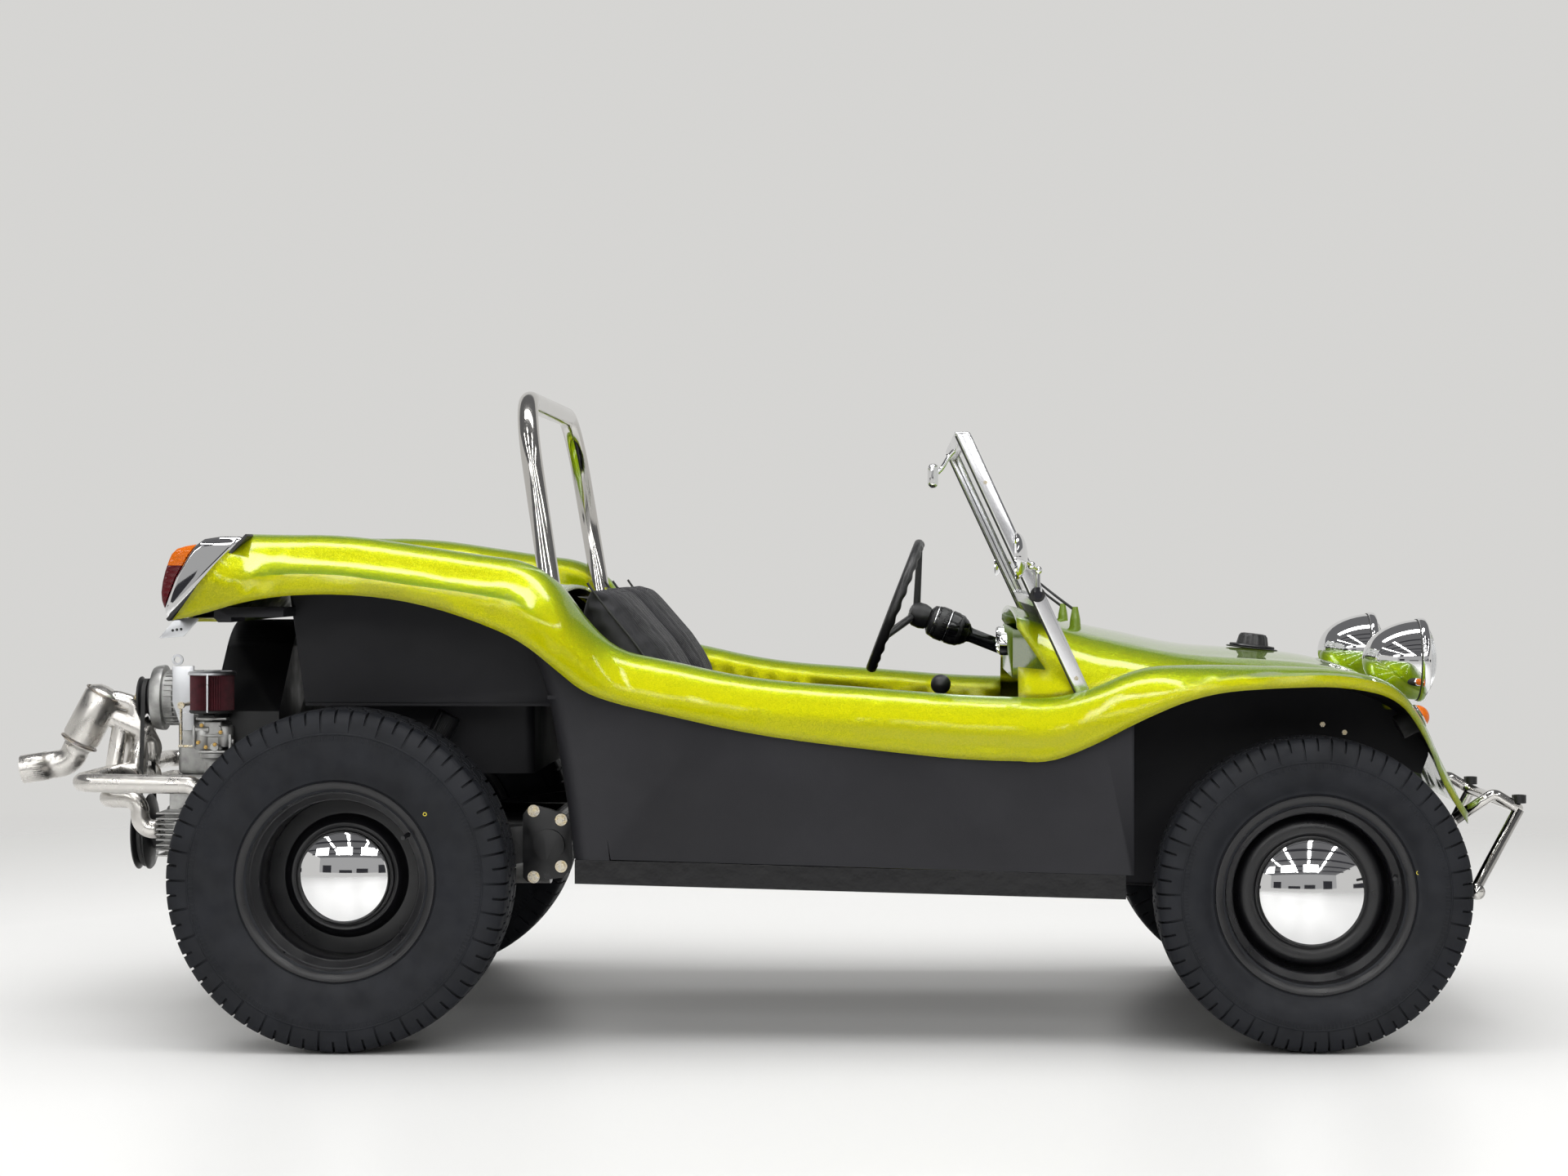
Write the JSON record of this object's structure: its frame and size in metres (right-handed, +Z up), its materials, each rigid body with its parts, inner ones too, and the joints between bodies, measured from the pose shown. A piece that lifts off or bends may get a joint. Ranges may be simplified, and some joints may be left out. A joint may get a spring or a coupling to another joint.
{
  "type": "dune buggy",
  "caption": "Open two-seat buggy: moulded body on a floor pan, rear engine, roll hoop, raked screen, wheels that turn and front wheels that steer.",
  "frame": {"origin": "floor level, at the middle of the bounding box in plan", "axes": "+X forward, +Y to the left side, +Z up"},
  "size_m": [3.4164, 1.62, 1.3949],
  "materials": {
    "body_green": "metal-flake gloss",
    "tub_black": "textured satin",
    "chassis_black": "satin",
    "sill_gloss": "gloss",
    "damper_paint": "satin",
    "cast_alloy": "as cast",
    "cylinder_iron": "machined fins",
    "shroud_black": "gloss",
    "bright_alloy": "polished",
    "pulley_black": "satin",
    "filter_red": "pleated",
    "bright_steel": "polished",
    "chrome_plate": "polished",
    "seat_vinyl": "woven",
    "wheel_plastic": "grained",
    "column_black": "gloss",
    "polished_alloy": "polished",
    "clear_glass": "clear",
    "lamp_glass": "fluted",
    "amber_lens": "clear",
    "red_lens": "clear",
    "wiper_black": "satin",
    "cap_black": "satin",
    "brushed_alloy": "brushed",
    "tyre_rubber": "moulded",
    "rim_black": "satin"
  },
  "bodies": {
    "chassis": {"body_shell": "body_green", "dash_panel": "body_green", "tub_panels": "tub_black", "floor_pan": "chassis_black", "sill_rails": "sill_gloss", "front_beam": "chassis_black", "rear_frame": "chassis_black", "rear_axle": "chassis_black", "rear_dampers": "damper_paint", "front_dampers": "damper_paint", "gearbox": "cast_alloy", "engine_case": "cast_alloy", "cylinders": "cylinder_iron", "fan_shroud": "shroud_black", "alternator": "bright_alloy", "crank_pulley": "pulley_black", "carburettors": "cast_alloy", "air_filters": "filter_red", "exhaust": "bright_steel", "roll_bar": "bright_steel", "front_bumper": "chrome_plate", "seat_left": "seat_vinyl", "seat_right": "seat_vinyl", "seat_frames": "chassis_black", "steering_column": "column_black", "gauges": "chrome_plate", "hand_levers": "column_black", "pedals": "chassis_black", "screen_frame": "polished_alloy", "screen_glass": "clear_glass", "mirrors": "chrome_plate", "wipers": "wiper_black", "headlamp_bowls": "chrome_plate", "headlamp_lenses": "lamp_glass", "indicators": "amber_lens", "fuel_cap": "cap_black", "tail_lamp_bodies": "chrome_plate", "tail_lamp_lenses": "red_lens", "plate_bracket": "brushed_alloy"},
    "wheel_rear_left": {"tyre_rear_left": "tyre_rubber", "rim_rear_left": "rim_black"},
    "knuckle_left": {"knuckle_left": "chassis_black"},
    "wheel_front_left": {"tyre_front_left": "tyre_rubber", "rim_front_left": "rim_black"},
    "wheel_rear_right": {"tyre_rear_right": "tyre_rubber", "rim_rear_right": "rim_black"},
    "knuckle_right": {"knuckle_right": "chassis_black"},
    "wheel_front_right": {"tyre_front_right": "tyre_rubber", "rim_front_right": "rim_black"},
    "steering_wheel": {"steering_wheel": "wheel_plastic"}
  },
  "joints": [
    {"name": "roll_rear_left", "type": "hinge", "parent": "chassis", "child": "wheel_rear_left", "pos_m": [-0.835, 0.695, 0.358], "axis": [0, 1, 0], "continuous": true},
    {"name": "steer_left", "type": "hinge", "parent": "chassis", "child": "knuckle_left", "pos_m": [1.197, 0.52, 0.329], "axis": [0, 0, 1], "range_deg": [-28, 28]},
    {"name": "roll_front_left", "type": "hinge", "parent": "knuckle_left", "child": "wheel_front_left", "pos_m": [1.197, 0.643, 0.329], "axis": [0, 1, 0], "continuous": true},
    {"name": "roll_rear_right", "type": "hinge", "parent": "chassis", "child": "wheel_rear_right", "pos_m": [-0.835, -0.695, 0.358], "axis": [0, 1, 0], "continuous": true},
    {"name": "steer_right", "type": "hinge", "parent": "chassis", "child": "knuckle_right", "pos_m": [1.197, -0.52, 0.329], "axis": [0, 0, 1], "range_deg": [-28, 28]},
    {"name": "roll_front_right", "type": "hinge", "parent": "knuckle_right", "child": "wheel_front_right", "pos_m": [1.197, -0.643, 0.329], "axis": [0, 1, 0], "continuous": true},
    {"name": "steering_turn", "type": "hinge", "parent": "chassis", "child": "steering_wheel", "pos_m": [0.326, 0.35, 0.9145], "axis": [-0.9323, 0, 0.3616], "range_deg": [-392, 392]}
  ],
  "couplings": [
    {"joint": "steer_right", "follows": "steer_left", "ratio": 1},
    {"joint": "steering_turn", "follows": "steer_left", "ratio": 14}
  ]
}
